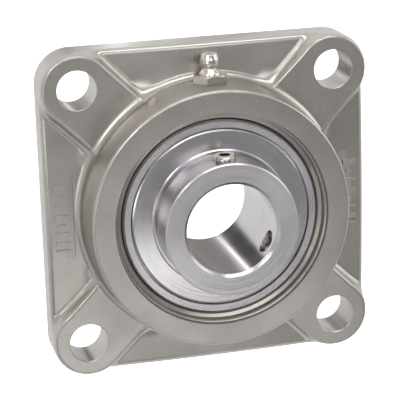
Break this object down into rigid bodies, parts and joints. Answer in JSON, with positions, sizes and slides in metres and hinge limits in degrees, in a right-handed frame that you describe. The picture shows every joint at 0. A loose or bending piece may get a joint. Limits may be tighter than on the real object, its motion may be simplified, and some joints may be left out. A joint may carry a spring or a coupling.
{
  "type": "four-bolt square flange ball bearing unit",
  "caption": "Square flange-mounted ball bearing unit with a round boss, a self-aligning insert held by set screws, corner bolt pads and a grease fitting.",
  "frame": {"origin": "centre of the bore in the plane of the mounting face", "axes": "+Z along the shaft axis from the mounting face towards the nose, +Y towards the grease fitting, +X completes the right-handed set"},
  "size_m": [0.117, 0.117, 0.0444],
  "materials": {
    "cast_steel": "satin stainless casting, lightly blasted",
    "ring_steel": "ground and polished stainless bearing steel",
    "ball_steel": "lapped mirror finish",
    "cage_steel": "pressed stainless sheet, as rolled",
    "pressed_steel": "pressed stainless sheet, satin turned",
    "seal_rubber": "matt nitrile rubber",
    "screw_steel": "bright machined stainless steel",
    "fitting_steel": "bright plated steel",
    "spring_steel": "drawn spring wire"
  },
  "bodies": {
    "housing": {"housing": "cast_steel", "grease_fitting_body": "fitting_steel"},
    "pin": {"anti_rotation_pin": "screw_steel"},
    "outer_ring": {"outer_ring": "ring_steel", "front_seal_core": "pressed_steel", "front_seal_lip": "seal_rubber", "back_seal_core": "pressed_steel", "back_seal_lip": "seal_rubber"},
    "inner_ring": {"inner_ring": "ring_steel", "front_slinger": "pressed_steel", "back_slinger": "pressed_steel"},
    "cage": {"cage_front": "cage_steel", "cage_back": "cage_steel", "cage_rivet_1": "cage_steel", "cage_rivet_2": "cage_steel", "cage_rivet_3": "cage_steel", "cage_rivet_4": "cage_steel", "cage_rivet_5": "cage_steel", "cage_rivet_6": "cage_steel", "cage_rivet_7": "cage_steel", "cage_rivet_8": "cage_steel", "cage_rivet_9": "cage_steel"},
    "set_screw_1": {"set_screw_1": "screw_steel"},
    "set_screw_2": {"set_screw_2": "screw_steel"},
    "grease_valve": {"grease_fitting_ball": "ball_steel", "grease_fitting_spring": "spring_steel"},
    "ball_1": {"ball_1": "ball_steel"},
    "ball_2": {"ball_2": "ball_steel"},
    "ball_3": {"ball_3": "ball_steel"},
    "ball_4": {"ball_4": "ball_steel"},
    "ball_5": {"ball_5": "ball_steel"},
    "ball_6": {"ball_6": "ball_steel"},
    "ball_7": {"ball_7": "ball_steel"},
    "ball_8": {"ball_8": "ball_steel"},
    "ball_9": {"ball_9": "ball_steel"}
  },
  "joints": [
    {"name": "swivel_in_notch", "type": "hinge", "parent": "housing", "child": "pin", "pos_m": [0, 0, 0.019], "axis": [1, 0, 0], "range_deg": [-2, 2]},
    {"name": "swivel_about_pin", "type": "hinge", "parent": "pin", "child": "outer_ring", "pos_m": [0, 0, 0.019], "axis": [0, 1, 0], "range_deg": [-2, 2]},
    {"name": "shaft_spin", "type": "hinge", "parent": "outer_ring", "child": "inner_ring", "pos_m": [0, 0, 0.019], "axis": [0, 0, 1], "continuous": true},
    {"name": "cage_spin", "type": "hinge", "parent": "outer_ring", "child": "cage", "pos_m": [0, 0, 0.019], "axis": [0, 0, 1], "continuous": true},
    {"name": "set_screw_1_drive", "type": "slide", "parent": "inner_ring", "child": "set_screw_1", "axis": [-0.0175, 0.9998, 0], "range_m": [-0.0012, 0.002]},
    {"name": "set_screw_2_drive", "type": "slide", "parent": "inner_ring", "child": "set_screw_2", "axis": [0.8746, -0.4848, 0], "range_m": [-0.0012, 0.002]},
    {"name": "grease_valve", "type": "slide", "parent": "housing", "child": "grease_valve", "axis": [0, -1, 0], "range_m": [0, 0.0008], "stiffness_N_per_m": 600, "springref_m": -0.001},
    {"name": "ball_1_spin", "type": "hinge", "parent": "cage", "child": "ball_1", "pos_m": [0.02675, 0, 0.019], "axis": [0, 0, 1], "continuous": true},
    {"name": "ball_2_spin", "type": "hinge", "parent": "cage", "child": "ball_2", "pos_m": [0.02049, 0.01719, 0.019], "axis": [0, 0, 1], "continuous": true},
    {"name": "ball_3_spin", "type": "hinge", "parent": "cage", "child": "ball_3", "pos_m": [0.00464, 0.02634, 0.019], "axis": [0, 0, 1], "continuous": true},
    {"name": "ball_4_spin", "type": "hinge", "parent": "cage", "child": "ball_4", "pos_m": [-0.01337, 0.02317, 0.019], "axis": [0, 0, 1], "continuous": true},
    {"name": "ball_5_spin", "type": "hinge", "parent": "cage", "child": "ball_5", "pos_m": [-0.02514, 0.00915, 0.019], "axis": [0, 0, 1], "continuous": true},
    {"name": "ball_6_spin", "type": "hinge", "parent": "cage", "child": "ball_6", "pos_m": [-0.02514, -0.00915, 0.019], "axis": [0, 0, 1], "continuous": true},
    {"name": "ball_7_spin", "type": "hinge", "parent": "cage", "child": "ball_7", "pos_m": [-0.01337, -0.02317, 0.019], "axis": [0, 0, 1], "continuous": true},
    {"name": "ball_8_spin", "type": "hinge", "parent": "cage", "child": "ball_8", "pos_m": [0.00464, -0.02634, 0.019], "axis": [0, 0, 1], "continuous": true},
    {"name": "ball_9_spin", "type": "hinge", "parent": "cage", "child": "ball_9", "pos_m": [0.02049, -0.01719, 0.019], "axis": [0, 0, 1], "continuous": true}
  ],
  "couplings": [
    {"joint": "cage_spin", "follows": "shaft_spin", "ratio": 0.39615},
    {"joint": "ball_1_spin", "follows": "shaft_spin", "ratio": -2.3035},
    {"joint": "ball_2_spin", "follows": "shaft_spin", "ratio": -2.3035},
    {"joint": "ball_3_spin", "follows": "shaft_spin", "ratio": -2.3035},
    {"joint": "ball_4_spin", "follows": "shaft_spin", "ratio": -2.3035},
    {"joint": "ball_5_spin", "follows": "shaft_spin", "ratio": -2.3035},
    {"joint": "ball_6_spin", "follows": "shaft_spin", "ratio": -2.3035},
    {"joint": "ball_7_spin", "follows": "shaft_spin", "ratio": -2.3035},
    {"joint": "ball_8_spin", "follows": "shaft_spin", "ratio": -2.3035},
    {"joint": "ball_9_spin", "follows": "shaft_spin", "ratio": -2.3035}
  ]
}
